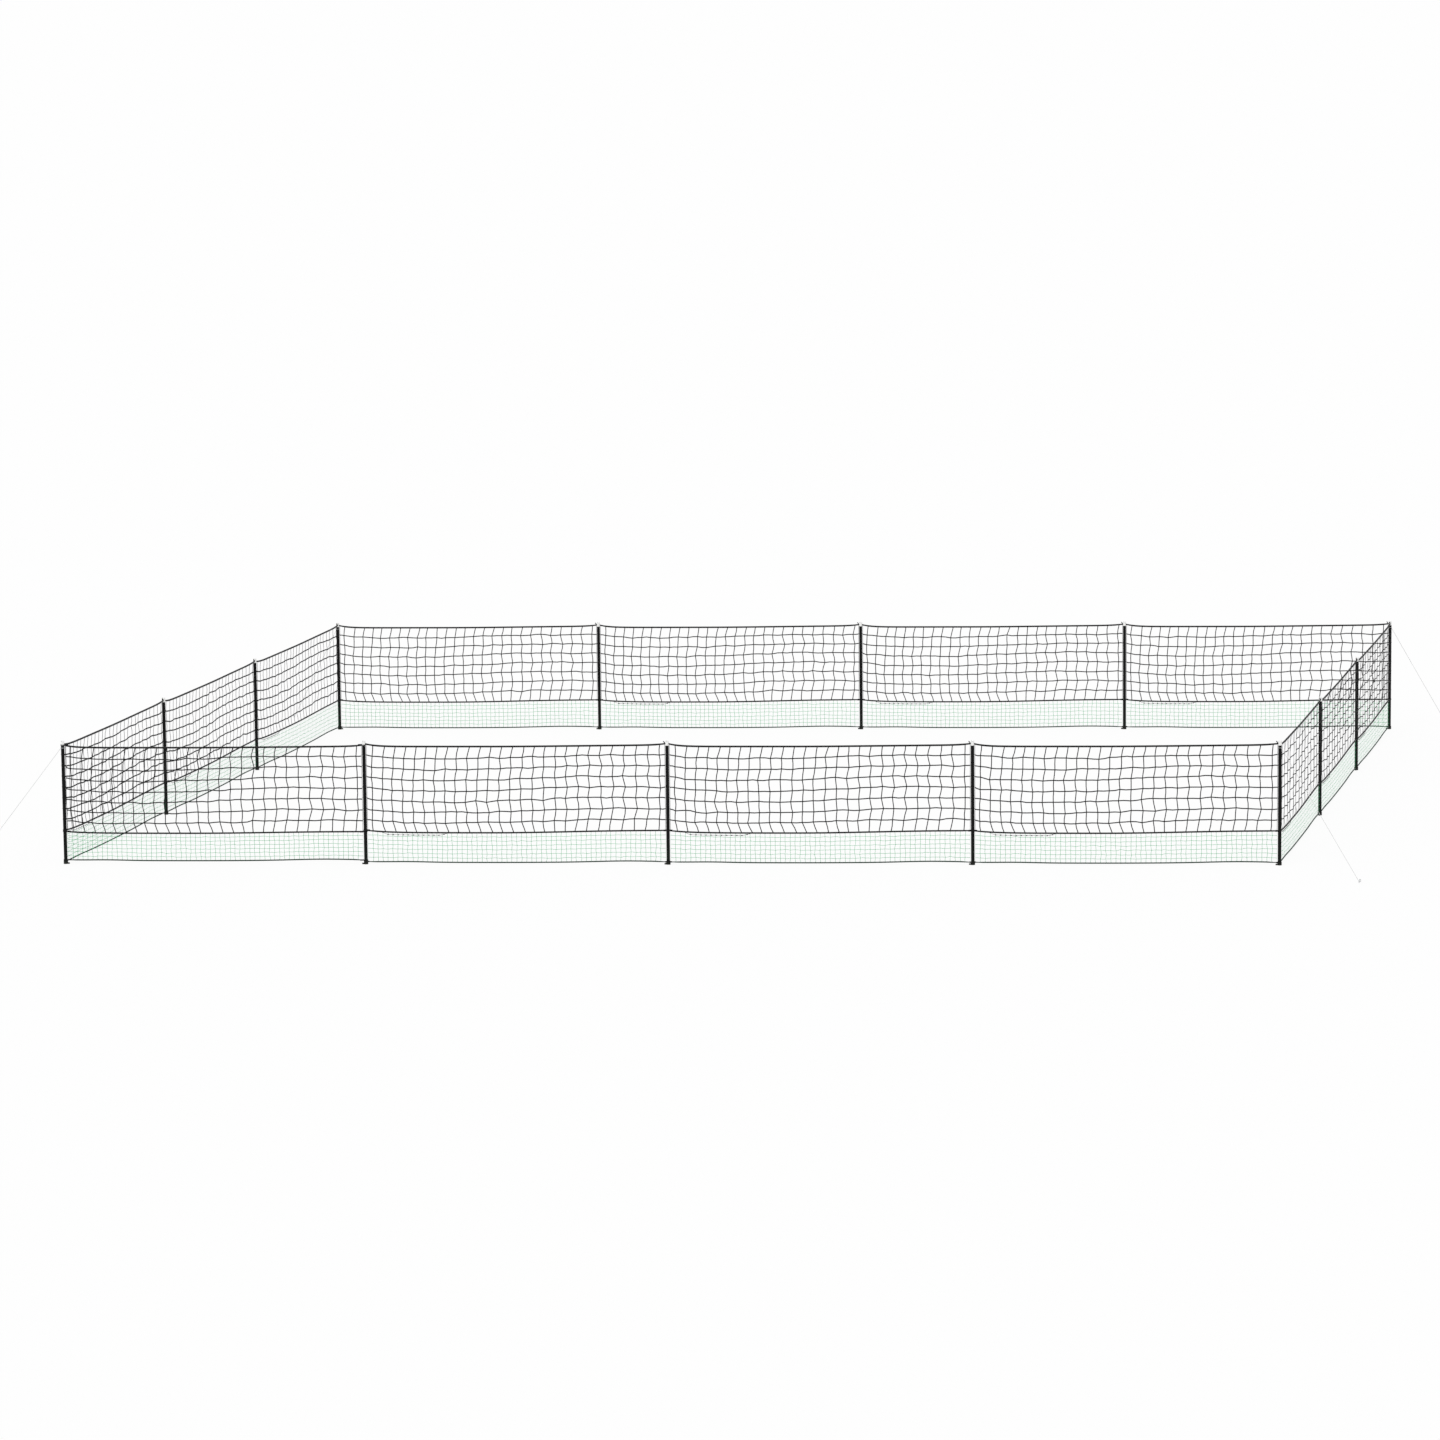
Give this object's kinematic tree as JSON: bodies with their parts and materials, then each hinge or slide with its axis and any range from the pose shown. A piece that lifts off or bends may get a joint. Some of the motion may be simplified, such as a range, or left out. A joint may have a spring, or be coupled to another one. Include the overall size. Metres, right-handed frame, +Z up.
{
  "type": "poultry netting fence",
  "caption": "Free-standing four-sided pen of spiked tube posts carrying roped netting, wide black mesh over close green mesh, with a swinging gate bay and pegged corner guy lines.",
  "frame": {"origin": "axis of the front left corner post's ground spike, at ground level", "axes": "+X along the front of the pen, +Y to its back, +Z up"},
  "size_m": [16.2606, 11.5953, 1.527],
  "materials": {
    "post_tube": "satin black extruded tube",
    "cap_plastic": "white moulded plastic",
    "boot_plastic": "black moulded plastic",
    "clip_plastic": "black moulded plastic",
    "black_twine": "black twisted polyethylene twine",
    "green_twine": "green twisted polyethylene twine",
    "black_rope": "black laid rope",
    "bottom_rope": "dark green laid rope",
    "guy_cord": "pale braided cord",
    "spike_steel": "galvanised steel",
    "peg_steel": "galvanised steel"
  },
  "bodies": {
    "fence": {"post_01": "post_tube", "post_02": "post_tube", "post_03": "post_tube", "post_04": "post_tube", "post_05": "post_tube", "post_06": "post_tube", "post_07": "post_tube", "post_08": "post_tube", "post_09": "post_tube", "post_10": "post_tube", "post_11": "post_tube", "post_12": "post_tube", "post_13": "post_tube", "post_14": "post_tube", "post_caps": "cap_plastic", "post_boots": "boot_plastic", "ground_spikes": "spike_steel", "spike_bushes": "boot_plastic", "rope_clips": "clip_plastic", "strand_ties": "black_twine", "front_upper_net": "black_twine", "front_lower_net": "green_twine", "front_top_rope": "black_rope", "front_mid_rope": "black_rope", "front_bottom_rope": "bottom_rope", "right_upper_net": "black_twine", "right_lower_net": "green_twine", "right_top_rope": "black_rope", "right_mid_rope": "black_rope", "right_bottom_rope": "bottom_rope", "back_upper_net": "black_twine", "back_lower_net": "green_twine", "back_top_rope": "black_rope", "back_mid_rope": "black_rope", "back_bottom_rope": "bottom_rope", "left_upper_net": "black_twine", "left_lower_net": "green_twine", "left_top_rope": "black_rope", "left_mid_rope": "black_rope", "left_bottom_rope": "bottom_rope", "guy_line_front_left": "guy_cord", "guy_line_front_right": "guy_cord", "guy_line_back_right": "guy_cord", "guy_line_back_left": "guy_cord", "guy_loops": "guy_cord"},
    "gate": {"gate_upper_net": "black_twine", "gate_lower_net": "green_twine", "gate_top_rope": "black_rope", "gate_mid_rope": "black_rope", "gate_bottom_rope": "bottom_rope", "gate_eyes": "clip_plastic", "gate_hooks": "clip_plastic"},
    "front_left_peg": {"peg_front_left": "peg_steel"},
    "front_right_peg": {"peg_front_right": "peg_steel"},
    "back_right_peg": {"peg_back_right": "peg_steel"},
    "back_left_peg": {"peg_back_left": "peg_steel"}
  },
  "joints": [
    {"name": "gate_swing", "type": "hinge", "parent": "fence", "child": "gate", "pos_m": [3.225, 0, 0], "axis": [0, 0, 1], "range_deg": [0, 120]},
    {"name": "front_left_peg_pull", "type": "slide", "parent": "fence", "child": "front_left_peg", "axis": [-0.2047, -0.1584, 0.9659], "range_m": [0, 0.17]},
    {"name": "front_right_peg_pull", "type": "slide", "parent": "fence", "child": "front_right_peg", "axis": [0.1548, -0.2074, 0.9659], "range_m": [0, 0.17]},
    {"name": "back_right_peg_pull", "type": "slide", "parent": "fence", "child": "back_right_peg", "axis": [0.1522, 0.2094, 0.9659], "range_m": [0, 0.17]},
    {"name": "back_left_peg_pull", "type": "slide", "parent": "fence", "child": "back_left_peg", "axis": [-0.1515, 0.2099, 0.9659], "range_m": [0, 0.17]}
  ]
}
